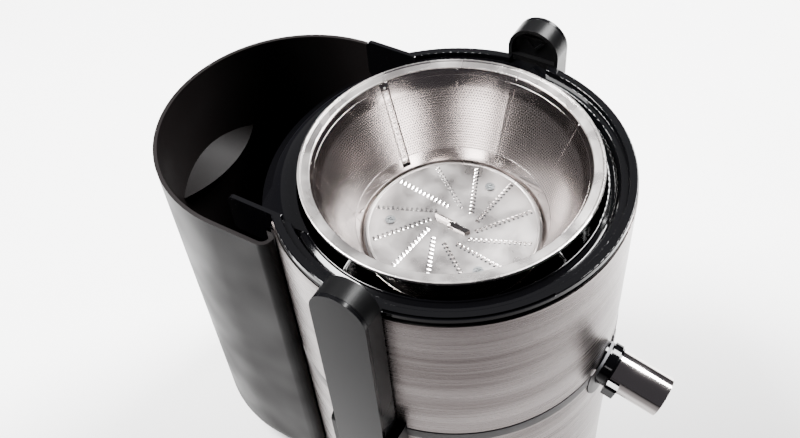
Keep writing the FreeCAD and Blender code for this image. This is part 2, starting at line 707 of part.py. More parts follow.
# ---- pulp container -----------------------------------------------------------------------
def bin_block(inset, floor_z, top_z):
    """The container's outside, or its hollow when inset by the wall: round back, hollow front."""
    half = BIN_HALF - inset
    front = BIN_FRONT_Y + inset
    block = box(-half, half, 20.0, BIN_CENTRE_Y, floor_z, top_z)
    block = block.fuse(cylinder(half, floor_z, top_z, 0, BIN_CENTRE_Y)).removeSplitter()
    low = [e for e in block.Edges if e.BoundBox.ZMax < floor_z + 0.01 and e.BoundBox.YMax > 30]
    block = block.makeFillet(30.0 - inset, low)
    tip = 6.5 - inset
    outline = [(-half, front, tip), (half, front, tip), (half, 260, 0), (-half, 260, 0)]
    block = block.common(prism(outline, floor_z - 1, top_z + 1))
    return block.cut(cylinder(BIN_HOLLOW_R + inset, floor_z - 1, top_z + 1))


def finger_recess(apex):
    """A shallow V turned about an upright axis behind the container."""
    axis_y = 246.0
    profile = [(apex, 195.0), (58.0, 203.0), (40.0, 203.0), (40.0, 158.0), (54.0, 158.0)]
    return revolve(profile, V(0, axis_y, 0))


def pulp_container():
    outside = bin_block(0.0, 0.0, BIN_TOP).cut(finger_recess(76.6))
    inside = bin_block(WALL, WALL, BIN_TOP + 5).cut(finger_recess(79.2))
    body = outside.cut(inside)
    notch = box(-CHUTE_HALF - CHEEK - 1.5, CHUTE_HALF + CHEEK + 1.5, 50, 110, BIN_NOTCH_TOP, 300)
    near_body = cylinder(BIN_HOLLOW_R + WALL + 1.0, 200, 300)
    return body.cut(notch.common(near_body)).removeSplitter()


# ---- clamp levers -------------------------------------------------------------------------
def clamp_outline(inset, z_low):
    """Upright outline of a lever, seen along X, with its round top."""
    half = CLAMP_W / 2 - inset
    top = CLAMP_TOP + half
    return [
        (CLAMP_Y - half, z_low, 0), (CLAMP_Y + half, z_low, 0),
        (CLAMP_Y + half, top, half - 0.01), (CLAMP_Y - half, top, half - 0.01),
    ]


def clamp_arm():
    """Inner moulding of the -X clamp: pivot end, straight arm and the pocket under its round top."""
    face_x = -(CLAMP_OUT_X - 2.4)
    arm = prism_x(clamp_outline(0, PIVOT_Z), face_x, -CLAMP_IN_X)
    eye = rod_y(PIVOT_X - CLAMP_IN_X, CLAMP_Y - CLAMP_W / 2, CLAMP_Y + CLAMP_W / 2, -PIVOT_X, PIVOT_Z)
    eye = eye.common(box(face_x, 0, -50, 50, 100, 200))
    arm = arm.fuse(eye)
    pocket = prism_x(clamp_outline(2.2, 271.0), -CLAMP_IN_X - 3.0, -CLAMP_IN_X + 1)
    arm = arm.cut(pocket)
    bar = box(-CLAMP_IN_X - 3.2, -CLAMP_IN_X - 2.0, CLAMP_Y - 7, CLAMP_Y + 7, 284.0, 285.4)
    pieces = [arm, bar]
    for side in (-1, 1):
        stroke = [
            (CLAMP_Y + side * 6.0, 282.4, 0), (CLAMP_Y + side * 4.2, 282.4, 0),
            (CLAMP_Y, 277.4, 0), (CLAMP_Y, 275.2, 0),
        ]
        pieces.append(prism_x(stroke, -CLAMP_IN_X - 3.2, -CLAMP_IN_X - 2.0))
    return fused(pieces).cut(rod_y(PIN_R + FIT, -60, 60, -PIVOT_X, PIVOT_Z))


def clamp_cover():
    """Outer skin of the -X clamp."""
    cover = prism_x(clamp_outline(0, PIVOT_Z), -CLAMP_OUT_X, -CLAMP_OUT_X + 2.2)
    eye = rod_y(PIVOT_X - CLAMP_IN_X, CLAMP_Y - CLAMP_W / 2, CLAMP_Y + CLAMP_W / 2, -PIVOT_X, PIVOT_Z)
    low = eye.common(box(-CLAMP_OUT_X, -CLAMP_OUT_X + 2.2, -50, 50, 100, PIVOT_Z + 1))
    return cover.fuse(low).removeSplitter()


# ---- speed knob ---------------------------------------------------------------------------
def speed_knob():
    """Round knob with a flat grip bar, on the shaft that works the switch."""
    face = -118.0
    body = rod_x(KNOB_R, -108.0, -102.4, 0, KNOB_Z)
    grip = rod_x(KNOB_R, face, -107.9, 0, KNOB_Z).common(box(face - 1, -100, -6.5, 6.5, 0, 200))
    shaft = rod_x(3.0, -103.0, -75.0, 0, KNOB_Z)
    slot = box(face - 1, face + 0.7, -0.9, 0.9, KNOB_Z + 6, KNOB_Z + 17)
    return fused([body, grip, shaft]).cut(slot)


def knob_pointer():
    """Light insert that shows where the knob points."""
    face = -118.0
    return box(face, face + 0.68, -0.85, 0.85, KNOB_Z + 6.05, KNOB_Z + 16.95)


# ---- export -------------------------------------------------------------------------------
def main():
    os.makedirs("parts", exist_ok=True)
    for make in (
        base_ring, foot_ring, bottom_cover, bottom_screws, motor_housing, lower_steel_shell, seam_ring,
        motor_deck, deck_seal, upper_bearing, lower_bearing, lower_motor_bracket, upper_motor_bracket,
        motor_mounts, motor_bolts, stator_core, stator_coils, speed_switch, knob_bezel,
        interlock_switches, cord_gland, clamp_pins, motor_shaft, armature_core, armature_winding,
        commutator, cooling_fan, drive_coupling, juice_bowl, bowl_rim, spout_boss, bowl_casing,
        bowl_steel_band, bowl_seal,
        spout_collar, spout_seal, spout_tube, spout_valve, spout_lever, strainer_rim, strainer_mesh,
        strainer_foot, grater_disc, grater_blade, grater_screws, strainer_hub, pulp_container,
        speed_knob, knob_pointer,
    ):
        write(make.__name__, make())
    for name, shapes in brush_parts().items():
        write(name, shapes)
    clamps = (("clamp_bracket", clamp_bracket), ("clamp_arm", clamp_arm), ("clamp_cover", clamp_cover))
    for name, make in clamps:
        left = make()
        write(name + "_left", left)
        write(name + "_right", mirrored(left))


main()
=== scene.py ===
# %% [markdown]
# # A centrifugal juicer on a studio table
# This lesson dresses a juicer whose real shapes come from a CAD model. The CAD part is the frame:
# it is loaded first and never moved. Blender adds the finishes, the light and the small pressed
# and moulded details. All lengths are in metres, so 0.001 is one millimetre.

# %% Load the frame
import bpy
import bmesh
import json
import math
from mathutils import Matrix, Vector


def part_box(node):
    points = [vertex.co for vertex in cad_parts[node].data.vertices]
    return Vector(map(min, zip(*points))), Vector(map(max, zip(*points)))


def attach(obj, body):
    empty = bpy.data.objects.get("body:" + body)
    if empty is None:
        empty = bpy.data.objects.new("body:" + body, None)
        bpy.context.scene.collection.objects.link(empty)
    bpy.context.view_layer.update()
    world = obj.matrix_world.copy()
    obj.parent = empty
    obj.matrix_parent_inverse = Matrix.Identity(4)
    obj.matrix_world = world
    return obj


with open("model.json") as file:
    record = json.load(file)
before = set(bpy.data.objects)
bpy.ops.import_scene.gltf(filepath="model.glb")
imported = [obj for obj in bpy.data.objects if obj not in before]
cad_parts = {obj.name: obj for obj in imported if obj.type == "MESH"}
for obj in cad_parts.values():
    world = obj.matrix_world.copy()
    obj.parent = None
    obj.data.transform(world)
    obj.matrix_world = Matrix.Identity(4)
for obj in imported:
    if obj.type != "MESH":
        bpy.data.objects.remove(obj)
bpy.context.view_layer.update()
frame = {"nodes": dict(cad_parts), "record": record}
nodes = frame["nodes"]
MM = 0.001

# %% [markdown]
# ## Colour and node helpers
# Colours are written as the sRGB hex values a painter would mix. A renderer adds light in linear
# numbers, so one function turns hex into linear. A second function adds one shader node with its
# settings and links, which keeps each material readable from top to bottom.

# %% Hex colours to linear
def colour(hex_text):
    """An sRGB hex value as linear red, green, blue and a full alpha."""
    parts = [int(hex_text[i:i + 2], 16) / 255 for i in (1, 3, 5)]
    linear = [c / 12.92 if c <= 0.04045 else ((c + 0.055) / 1.055) ** 2.4 for c in parts]
    return (*linear, 1.0)


print("mid grey", [round(c, 3) for c in colour("#808080")])

# %% Add a node, and start a material
def add(tree, kind, inputs=None, **settings):
    """Adds a shader node. A socket given in inputs is linked, and any other value is set."""
    made = tree.nodes.new("ShaderNode" + kind)
    for name, value in settings.items():
        setattr(made, name, value)
    for key, value in (inputs or {}).items():
        if isinstance(value, bpy.types.NodeSocket):
            tree.links.new(value, made.inputs[key])
        else:
            made.inputs[key].default_value = value
    return made


def start_material(name):
    """An empty material with its node tree and the object's own coordinates, in metres."""
    made = bpy.data.materials.new(name)
    made.use_nodes = True
    tree = made.node_tree
    tree.nodes.clear()
    return made, tree, add(tree, "TexCoord").outputs["Object"]


def finish_material(tree, shader):
    add(tree, "OutputMaterial", {"Surface": shader.outputs[0]})


# %% [markdown]
# ## Brushed stainless steel
# The outer shells are AISI 304 sheet, brushed along its length with an abrasive belt before it is
# rolled into a tube. The scratches run round the body. They stay sharp along the grain and blur
# reflections across it, so the shader is anisotropic about the upright axis. The belt leaves lines
# about 0.2 mm apart; they are drawn 0.8 mm apart so that they show at this distance.

# %% Brushed steel for the shells
def brushed_steel(name, dark, light, roughness, line_mm):
    made, tree, where = start_material(name)
    lines = 1 / (line_mm * MM)
    fine = add(tree, "Mapping", {"Vector": where, "Scale": (7, 7, lines)})
    grain = add(tree, "TexNoise", {"Vector": fine.outputs[0], "Scale": 1.0, "Detail": 5.0, "Roughness": 0.75})
    broad = add(tree, "Mapping", {"Vector": where, "Scale": (5, 5, lines / 14)})
    bands = add(tree, "TexNoise", {"Vector": broad.outputs[0], "Scale": 1.0, "Detail": 2.0})
    both = add(tree, "Math", {0: grain.outputs["Fac"], 1: bands.outputs["Fac"]}, operation="MULTIPLY")
    share = add(tree, "MapRange", {"Value": both.outputs[0], "From Min": 0.15, "From Max": 0.36})
    tint = add(tree, "Mix", {"Factor": share.outputs[0], "A": dark, "B": light}, data_type="RGBA")
    rough = add(tree, "MapRange", {
        "Value": grain.outputs["Fac"], "From Min": 0.3, "From Max": 0.7,
        "To Min": roughness - 0.06, "To Max": roughness + 0.08,
    })
    bump = add(tree, "Bump", {"Height": grain.outputs["Fac"], "Strength": 0.12, "Distance": 0.02 * MM})
    axis = add(tree, "Tangent", direction_type="RADIAL", axis="Z")
    finish_material(tree, add(tree, "BsdfPrincipled", {
        "Base Color": tint.outputs["Result"], "Metallic": 1.0, "Roughness": rough.outputs[0],
        "Anisotropic": 0.7, "Normal": bump.outputs[0], "Tangent": axis.outputs[0],
    }))
    return made


print(brushed_steel("brushed_304_shell", colour("#6f6664"), colour("#a29a98"), 0.27, 0.8).name)

# %% [markdown]
# ## Polished and spun steel
# The spout is drawn steel tube, polished until it mirrors the room. The basket's rim is spun on a
# lathe, so its faint lines are circles about the axis. Both share one recipe: a low roughness that
# wanders a little, as polishing leaves it, over circular tool lines that are hardly there.

# %% Polished steel for the spout, rim and foot
def polished_steel(name, tint_hex, roughness, line_mm):
    made, tree, where = start_material(name)
    apart = add(tree, "SeparateXYZ", {0: where})
    flat = add(tree, "CombineXYZ", {"X": apart.outputs["X"], "Y": apart.outputs["Y"]})
    radius = add(tree, "VectorMath", {0: flat.outputs[0]}, operation="LENGTH")
    turning = add(tree, "CombineXYZ", {"X": radius.outputs["Value"], "Z": apart.outputs["Z"]})
    lines = add(tree, "TexNoise", {"Vector": turning.outputs[0], "Scale": 1 / (line_mm * MM), "Detail": 2.0})
    cloud = add(tree, "TexNoise", {"Vector": where, "Scale": 45.0, "Detail": 3.0})
    rough = add(tree, "MapRange", {
        "Value": cloud.outputs["Fac"], "From Min": 0.3, "From Max": 0.7,
        "To Min": roughness * 0.7, "To Max": roughness * 1.5,
    })
    bump = add(tree, "Bump", {"Height": lines.outputs["Fac"], "Strength": 0.12, "Distance": 0.01 * MM})
    finish_material(tree, add(tree, "BsdfPrincipled", {
        "Base Color": colour(tint_hex), "Metallic": 1.0, "Roughness": rough.outputs[0],
        "Normal": bump.outputs[0],
    }))
    return made


print(polished_steel("polished_304_tube", "#cfc9c6", 0.09, 0.9).name)

# %% [markdown]
# ## Photo-etched strainer sheet
# The cone is thin steel with thousands of etched holes of about 0.5 mm. Cutting them all would take
# millions of faces, so they are a pattern in the finish: rows in height, columns in angle, every
# other row shifted by half a hole. Each hole is a darker dot with a soft edge, and the pattern fades
# out on the plain bands at the top and foot of the cone. The rows are drawn 1.5 mm apart.

# %% Etched steel for the cone
def etched_steel(name, z_low, z_high, hole_columns, row_mm):
    made, tree, where = start_material(name)
    apart = add(tree, "SeparateXYZ", {0: where})
    angle = add(tree, "Math", {0: apart.outputs["Y"], 1: apart.outputs["X"]}, operation="ARCTAN2")
    column = add(tree, "Math", {0: angle.outputs[0], 1: hole_columns / math.tau}, operation="MULTIPLY")
    row = add(tree, "Math", {0: apart.outputs["Z"], 1: 1 / (row_mm * MM)}, operation="MULTIPLY")
    whole = add(tree, "Math", {0: row.outputs[0]}, operation="FLOOR")
    shift = add(tree, "Math", {0: whole.outputs[0], 1: 0.5}, operation="MULTIPLY")
    placed = add(tree, "Math", {0: column.outputs[0], 1: shift.outputs[0]}, operation="ADD")
    cell_u = add(tree, "Math", {0: placed.outputs[0]}, operation="FRACT")
    cell_v = add(tree, "Math", {0: row.outputs[0]}, operation="FRACT")
    cell = add(tree, "CombineXYZ", {"X": cell_u.outputs[0], "Y": cell_v.outputs[0]})
    away = add(tree, "VectorMath", {0: cell.outputs[0], 1: (0.5, 0.5, 0.0)}, operation="DISTANCE")
    hole = add(tree, "MapRange", {
        "Value": away.outputs["Value"], "From Min": 0.20, "From Max": 0.32, "To Min": 1.0, "To Max": 0.0,
    })
    above = add(tree, "MapRange", {"Value": apart.outputs["Z"], "From Min": z_low, "From Max": z_low + MM})
    below = add(tree, "MapRange", {
        "Value": apart.outputs["Z"], "From Min": z_high, "From Max": z_high - 2 * MM,
    })
    ragged = add(tree, "Math", {0: above.outputs[0], 1: below.outputs[0]}, operation="MULTIPLY")
    dots = add(tree, "Math", {0: hole.outputs[0], 1: ragged.outputs[0]}, operation="MULTIPLY")
    tint = add(tree, "Mix", {
        "Factor": dots.outputs[0], "A": colour("#a39d9b"), "B": colour("#5a5554"),
    }, data_type="RGBA")
    rough = add(tree, "MapRange", {"Value": ragged.outputs[0], "To Min": 0.13, "To Max": 0.25})
    bump = add(tree, "Bump", {
        "Height": dots.outputs[0], "Strength": 0.08, "Distance": 0.05 * MM,
    }, invert=True)
    finish_material(tree, add(tree, "BsdfPrincipled", {
        "Base Color": tint.outputs["Result"], "Metallic": 1.0, "Roughness": rough.outputs[0],
        "Normal": bump.outputs[0],
    }))
    return made


cone_low, cone_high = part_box("strainer_mesh")
etched = etched_steel("etched_steel_strainer", cone_low.z + 8 * MM, cone_high.z - 9 * MM, 260, 1.5)
print(etched.name, "rows", round((cone_high.z - cone_low.z) / (1.5 * MM)))

# %% [markdown]
# ## Moulded plastics
# Three finishes of black plastic cover most of the rest. Gloss ABS comes from a polished mould: it
# has a clear, hard shine and very slight waves where the wall sank as it cooled. Satin ABS comes
# from a lightly blasted mould. The pulp container is polypropylene from a spark-eroded mould, which
# leaves a grain of about 0.7 mm and a softer, browner black.

# %% One recipe for moulded plastic
def moulded(name, dark_hex, light_hex, roughness, grain_mm, grain_depth, ior, specular, wave_depth=0.0):
    made, tree, where = start_material(name)
    grain = add(tree, "TexNoise", {
        "Vector": where, "Scale": 1 / (grain_mm * MM), "Detail": 3.0, "Roughness": 0.6,
    })
    sink = add(tree, "TexNoise", {"Vector": where, "Scale": 28.0, "Detail": 1.0})
    share = add(tree, "MapRange", {"Value": grain.outputs["Fac"], "From Min": 0.3, "From Max": 0.7})
    tint = add(tree, "Mix", {
        "Factor": share.outputs[0], "A": colour(dark_hex), "B": colour(light_hex),
    }, data_type="RGBA")
    rough = add(tree, "MapRange", {
        "Value": sink.outputs["Fac"], "From Min": 0.3, "From Max": 0.7,
        "To Min": roughness * 0.85, "To Max": roughness * 1.2,
    })
    wave = add(tree, "Bump", {"Height": sink.outputs["Fac"], "Strength": 0.3, "Distance": wave_depth * MM})
    bump = add(tree, "Bump", {
        "Height": grain.outputs["Fac"], "Strength": 0.5, "Distance": grain_depth * MM,
        "Normal": wave.outputs[0],
    })
    finish_material(tree, add(tree, "BsdfPrincipled", {
        "Base Color": tint.outputs["Result"], "Roughness": rough.outputs[0], "IOR": ior,
        "Specular IOR Level": specular, "Normal": bump.outputs[0],
    }))
    return made


PLASTICS = {
    "gloss_black_abs": ("#030304", "#050506", 0.07, 0.5, 0.0015, 1.50, 0.36, 0.05),
    "satin_black_abs": ("#070707", "#0a0a0b", 0.30, 0.5, 0.006, 1.50, 0.11),
    "spark_eroded_polypropylene": ("#0c0a0a", "#110e0e", 0.46, 0.7, 0.02, 1.49, 0.10),
    "grey_satin_abs": ("#403b3d", "#4a4644", 0.36, 0.5, 0.006, 1.50, 0.35),
    "black_glass_filled_nylon": ("#121214", "#19191b", 0.48, 0.9, 0.02, 1.52, 0.35),
    "white_abs_insert": ("#d3d3d0", "#dfdfdc", 0.32, 0.5, 0.004, 1.53, 0.50),
    "black_nitrile_rubber": ("#0c0c0c", "#131313", 0.62, 0.8, 0.03, 1.52, 0.35),
    "grey_moulded_silicone": ("#6f6f72", "#7c7c80", 0.45, 0.6, 0.01, 1.41, 0.50),
}
plastic = {name: moulded(name, *values) for name, values in PLASTICS.items()}
print("plastics", len(plastic))

# %% [markdown]
# ## Motor metals
# The motor is hidden, but it shows when the base is opened. Copper wire is enamelled and wound in
# layers, the iron cores are stacks of sheet about half a millimetre thick, carbon brushes are
# pressed powder, and screws and brackets are zinc plated. Each pattern is a set of layers or grains
# of that real size.

# %% Wound, stacked, pressed and plated metals
def layered_metal(name, dark_hex, light_hex, metallic, roughness, layer_mm, upright):
    made, tree, where = start_material(name)
    waves = add(tree, "TexWave", {
        "Vector": where, "Scale": 1 / (layer_mm * MM * math.tau / 2), "Distortion": 0.4, "Detail": 1.0,
    }, bands_direction="Z" if upright else "DIAGONAL")
    grain = add(tree, "TexNoise", {"Vector": where, "Scale": 900.0, "Detail": 3.0})
    tone = add(tree, "Math", {0: waves.outputs["Fac"], 1: grain.outputs["Fac"]}, operation="MULTIPLY")
    tint = add(tree, "Mix", {
        "Factor": tone.outputs[0], "A": colour(dark_hex), "B": colour(light_hex),
    }, data_type="RGBA")
    rough = add(tree, "MapRange", {
        "Value": grain.outputs["Fac"], "To Min": roughness - 0.08, "To Max": roughness + 0.12,
    })
    bump = add(tree, "Bump", {"Height": waves.outputs["Fac"], "Strength": 0.4, "Distance": 0.05 * MM})
    finish_material(tree, add(tree, "BsdfPrincipled", {
        "Base Color": tint.outputs["Result"], "Metallic": metallic, "Roughness": rough.outputs[0],
        "Normal": bump.outputs[0],
    }))
    return made


METALS = {
    "enamelled_copper_wire": ("#5e2410", "#c9703a", 0.9, 0.28, 0.6, True),
    "varnished_lamination_stack": ("#26262a", "#5b5b60", 0.85, 0.42, 0.5, True),
    "turned_copper_segments": ("#8a4a2c", "#d08a5e", 1.0, 0.25, 0.4, True),
    "pressed_carbon_graphite": ("#0c0c0c", "#242424", 0.2, 0.55, 0.4, False),
    "rolled_brass_strip": ("#8d6a2e", "#c8a25a", 1.0, 0.3, 0.8, False),
    "zinc_plated_steel": ("#85888a", "#b4b7b8", 1.0, 0.34, 1.2, False),
    "ground_tool_steel": ("#7d7b7a", "#aaa8a6", 1.0, 0.2, 0.3, True),
}
metal = {name: layered_metal(name, *values) for name, values in METALS.items()}
print("metals", len(metal))

# %% [markdown]
# ## Dress the CAD nodes
# Every CAD node keeps its mesh and gets one finish. The record says which slot each node takes, and
# this table says which finish stands for each slot. A few nodes differ from the rest of their slot:
# the basket's disc and rim take duller steels than the spout, the commutator is turned copper, and
# the levers' covers are a softer gloss than the bowl.

# %% Finishes by slot
finish_of = {
    "brushed_steel": bpy.data.materials["brushed_304_shell"],
    "polished_steel": bpy.data.materials["polished_304_tube"],
    "mesh_steel": etched,
    "tool_steel": metal["ground_tool_steel"],
    "zinc_steel": metal["zinc_plated_steel"],
    "electrical_steel": metal["varnished_lamination_stack"],
    "gloss_black": plastic["gloss_black_abs"],
    "satin_black": plastic["satin_black_abs"],
    "bin_plastic": plastic["spark_eroded_polypropylene"],
    "grey_plastic": plastic["grey_satin_abs"],
    "inner_plastic": plastic["black_glass_filled_nylon"],
    "white_insert": plastic["white_abs_insert"],
    "black_rubber": plastic["black_nitrile_rubber"],
    "silicone": plastic["grey_moulded_silicone"],
    "copper": metal["enamelled_copper_wire"],
    "carbon": metal["pressed_carbon_graphite"],
    "brass": metal["rolled_brass_strip"],
}
SPECIAL = {
    "commutator": metal["turned_copper_segments"],
    "strainer_rim": polished_steel("spun_steel_rim", "#dad5d2", 0.26, 0.6),
    "clamp_cover_left": moulded("polished_black_abs", "#050505", "#08080a", 0.16, 0.5, 0.003, 1.50, 0.12),
    "clamp_cover_right": bpy.data.materials["polished_black_abs"],
    "grater_disc": polished_steel("punched_steel_disc", "#bdb8b6", 0.30, 0.5),
}
for part in frame["record"]["subparts"]:
    node = nodes[part["node"]]
    node.data.materials.clear()
    node.data.materials.append(SPECIAL.get(part["node"], finish_of[part["material_slot"]]))

# %% [markdown]
# ## Soften the moulded edges
# A moulded edge is never razor sharp: the mould's own corners are rounded, and that thin round edge
# catches the light. The CAD faces arrive unjoined, so each chosen node is welded first, then its
# sharp edges are bevelled, and its normals are weighted so that flat faces still look flat.

# %% Bevel the edges that the light catches
SOFTENED = {
    "clamp_cover_left": 1.1, "clamp_cover_right": 1.1, "clamp_arm_left": 0.5, "clamp_arm_right": 0.5,
    "clamp_bracket_left": 0.6, "clamp_bracket_right": 0.6, "pulp_container": 0.7, "speed_knob": 0.8,
    "knob_bezel": 0.5, "cord_gland": 0.5, "seam_ring": 0.25, "grater_blade": 0.2, "drive_coupling": 0.4,
}


def soften(piece, width_mm):
    weld = piece.modifiers.new("join faces", "WELD")
    weld.merge_threshold = 0.002 * MM
    bevel = piece.modifiers.new("mould radius", "BEVEL")
    bevel.width = width_mm * MM
    bevel.segments = 3
    bevel.limit_method = "ANGLE"
    bevel.angle_limit = math.radians(40)
    bevel.use_clamp_overlap = True
    piece.modifiers.new("flat faces", "WEIGHTED_NORMAL").keep_sharp = False


for name, width_mm in SOFTENED.items():
    soften(nodes[name], width_mm)
print("softened", len(SOFTENED))

# %% [markdown]
# ## Making a new piece
# The small pressed details are built as meshes. One helper turns a bmesh into an object with its
# finish and the body that it rides on.

# %% A bmesh becomes a piece
def piece_from(name, mesh, material, body, smooth=True):
    bmesh.ops.recalc_face_normals(mesh, faces=mesh.faces)
    data = bpy.data.meshes.new(name)
    mesh.to_mesh(data)
    mesh.free()
    data.materials.append(material)
    data.shade_smooth() if smooth else data.shade_flat()
    made = bpy.data.objects.new(name, data)
    bpy.context.scene.collection.objects.link(made)
    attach(made, body)
    print(name, "faces", len(data.polygons), "mm", [round(side / MM, 1) for side in made.dimensions])


def polar(radius, degrees, z):
    angle = math.radians(degrees)
    return Vector((radius * math.cos(angle), radius * math.sin(angle), z))


# %% [markdown]
# ## Grater teeth
# A press punches the disc from below in rows that lean outwards like a pinwheel. Each tooth is a
# little narrowing tongue, bent up so that its open end meets the food. A row is a straight line
# from near the middle to near the edge, and it carries teeth about 2.9 mm apart. Each tongue
# here is a closed mesh with a raised tip.

# %% Punch the teeth
TOOTH_ROWS = 12
TEETH_IN_ROW = 13
ROW_IN, ROW_OUT = 14.5 * MM, 46 * MM
ROW_START, ROW_SWEEP = -20.0, 30.0
TOOTH_HALF, TOOTH_LENGTH, TOOTH_HEIGHT = 1.15 * MM, 2.1 * MM, 1.1 * MM
TONGUE_THICK, TONGUE_CREASE = 0.22 * MM, 0.45
DISC_EDGE_RISE = 0.7 * MM
disc_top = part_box("grater_disc")[1].z - DISC_EDGE_RISE


def tooth_places():
    for row in range(TOOTH_ROWS):
        turn = row * 360 / TOOTH_ROWS + ROW_START
        first, last = polar(ROW_IN, turn, disc_top), polar(ROW_OUT, turn + ROW_SWEEP, disc_top)
        along = (last - first).normalized()
        for i in range(TEETH_IN_ROW):
            yield first.lerp(last, i / (TEETH_IN_ROW - 1)), along


def add_tooth(mesh, foot, along):
    """A bent tongue: wide at its root, lifted at its tip, with a thin closed underside."""
    across = Vector((along.y, -along.x, 0))
    up = Vector((0, 0, 1))
    root = foot - across * (TOOTH_LENGTH / 2)
    rows = []
    for share, width in ((0.0, 1.0), (0.35, 0.92), (0.7, 0.62), (1.0, 0.12)):
        lift = TOOTH_HEIGHT * share ** 1.3
        middle = root + across * (TOOTH_LENGTH * share)
        side = along * (TOOTH_HALF * width)
        top = up * (lift + TONGUE_THICK * width)
        rows.append([
            mesh.verts.new(middle - side), mesh.verts.new(middle - side * TONGUE_CREASE + top),
            mesh.verts.new(middle + side * TONGUE_CREASE + top), mesh.verts.new(middle + side),
        ])
    for low, high in zip(rows, rows[1:]):
        for i in range(3):
            mesh.faces.new((low[i], low[i + 1], high[i + 1], high[i]))
        mesh.faces.new((low[3], low[0], high[0], high[3]))
    mesh.faces.new(rows[0])
    mesh.faces.new(rows[-1])


teeth = bmesh.new()
for foot, along in tooth_places():
    add_tooth(teeth, foot, along)
tooth_steel = polished_steel("bright_punched_edge", "#e4e0de", 0.14, 0.5)
piece_from("grater_teeth", teeth, tooth_steel, "strainer", smooth=False)

# %% [markdown]
# In front of each tip the punch leaves a slit, an opening that reads as a short dark stroke. A thin
# dark plate lies on the disc's surface there as painted shade for that opening.

# %% Painted shade in the slits under the tips
SLIT_DEPTH, SLIT_LENGTH = 0.04 * MM, 0.75 * MM
SLIT_NEAR_HALF, SLIT_FAR_HALF = 0.8, 0.45
slits = bmesh.new()
for foot, along in tooth_places():
    across = Vector((along.y, -along.x, 0))
    near = foot + across * (TOOTH_LENGTH * 0.5)
    far = foot + across * (TOOTH_LENGTH * 0.5 + SLIT_LENGTH)
    corners = [
        near - along * SLIT_NEAR_HALF * MM, near + along * SLIT_NEAR_HALF * MM,
        far + along * SLIT_FAR_HALF * MM, far - along * SLIT_FAR_HALF * MM,
    ]
    lower = [slits.verts.new(c) for c in corners]
    upper = [slits.verts.new(c + Vector((0, 0, SLIT_DEPTH))) for c in corners]
    slits.faces.new(lower)
    slits.faces.new(upper)
    for i in range(4):
        j = (i + 1) % 4
        slits.faces.new((lower[i], lower[j], upper[j], upper[i]))
# The plates take a dark metal finish: painted shade in each slit's opening.
slit_painted_shade_finish = metal["varnished_lamination_stack"]
piece_from("grater_slit_painted_shade", slits, slit_painted_shade_finish, "strainer", smooth=False)

# %% [markdown]
# ## Seams and spot welds of the cone
# The cone is rolled from etched sheets. Five joints show as narrow folded strips from rim to foot,
# and a sixth, wider one overlaps and is spot welded, with a row of small round dimples. The strips
# follow the cone's slope, just inside its wall.

# %% Rolled seams
STRIP_LOW, STRIP_HIGH = 226 * MM, 276 * MM
CONE_FOOT, CONE_TOP, CONE_FOOT_Z, CONE_HEIGHT = 51.4 * MM, 75.6 * MM, 222.6 * MM, 53.6 * MM
CONE_SLOPE = (CONE_TOP - CONE_FOOT) / CONE_HEIGHT


def cone_radius(z):
    """Inside radius of the strainer's wall at a height."""
    return CONE_FOOT + (z - CONE_FOOT_Z) * CONE_SLOPE


def add_strip(mesh, degrees, width, thickness):
    """A strip with a domed section that runs up the inside of the cone."""
    steps, section = 12, ((-0.5, 0.0), (-0.3, 0.8), (0.0, 1.0), (0.3, 0.8), (0.5, 0.0))
    rings = []
    for i in range(steps + 1):
        z = STRIP_LOW + (STRIP_HIGH - STRIP_LOW) * i / steps
        radius = cone_radius(z)
        turn = math.degrees(width / radius)
        outline = [(radius - thickness * h - 0.02 * MM, s) for s, h in section]
        outline += [(radius + 0.1 * MM, s) for s in (0.5, -0.5)]
        rings.append([mesh.verts.new(polar(r, degrees + turn * s, z)) for r, s in outline])
    count = len(rings[0])
    for low, high in zip(rings, rings[1:]):
        for i in range(count):
            j = (i + 1) % count
            mesh.faces.new((low[i], low[j], high[j], high[i]))
    mesh.faces.new(rings[0])
    mesh.faces.new(rings[-1])


WELDED_SEAM = 59.5
seams = bmesh.new()
for degrees, width_mm in ((25.4, 0.66), (-2.2, 0.6), (117.0, 0.6), (-41.0, 0.6), (184.0, 0.6)):
    add_strip(seams, degrees, width_mm * MM, 0.14 * MM)
add_strip(seams, WELDED_SEAM, 5.5 * MM, 0.12 * MM)
piece_from("strainer_seams", seams, etched, "strainer")

# %% Spot welds on the overlapped seam
WELD_RADIUS, WELD_HEIGHT = 0.75 * MM, 0.25 * MM
WELDS, WELD_PITCH = 14, 3.4 * MM
welds = bmesh.new()
outward = polar(1, WELDED_SEAM, 0)
for i in range(WELDS):
    z = STRIP_LOW + 3 * MM + i * WELD_PITCH
    sideways = Vector((-outward.y, outward.x, 0))
    slope = Vector((outward.x * CONE_SLOPE, outward.y * CONE_SLOPE, 1)).normalized()
    inward = sideways.cross(slope)
    inward = inward if inward.dot(outward) < 0 else -inward
    middle = polar(cone_radius(z) - 0.22 * MM, WELDED_SEAM, z)
    shape = bmesh.ops.create_uvsphere(welds, u_segments=12, v_segments=7, radius=1.0)
    basis = Matrix((sideways * WELD_RADIUS, slope * WELD_RADIUS, inward * WELD_HEIGHT)).transposed()
    for vert in shape["verts"]:
        vert.co = middle + basis @ vert.co
piece_from("strainer_spot_welds", welds, SPECIAL["strainer_rim"], "strainer")

# %% [markdown]
# Two rolled beads stiffen the cone: one just below the rim and one just above the disc. On the real
# basket they read as thin faint lines. Each is a slim ring with a round section.

# %% Rolled beads
def add_ring(mesh, radius, z, tube, segments=160, sides=8):
    rings = []
    for i in range(segments):
        turn = 360 * i / segments
        loop = []
        for k in range(sides):
            angle = math.tau * k / sides
            point = polar(radius + tube * math.cos(angle), turn, z + tube * math.sin(angle))
            loop.append(mesh.verts.new(point))
        rings.append(loop)
    for i in range(segments):
        low, high = rings[i], rings[(i + 1) % segments]
        for k in range(sides):
            m = (k + 1) % sides
            mesh.faces.new((low[k], low[m], high[m], high[k]))


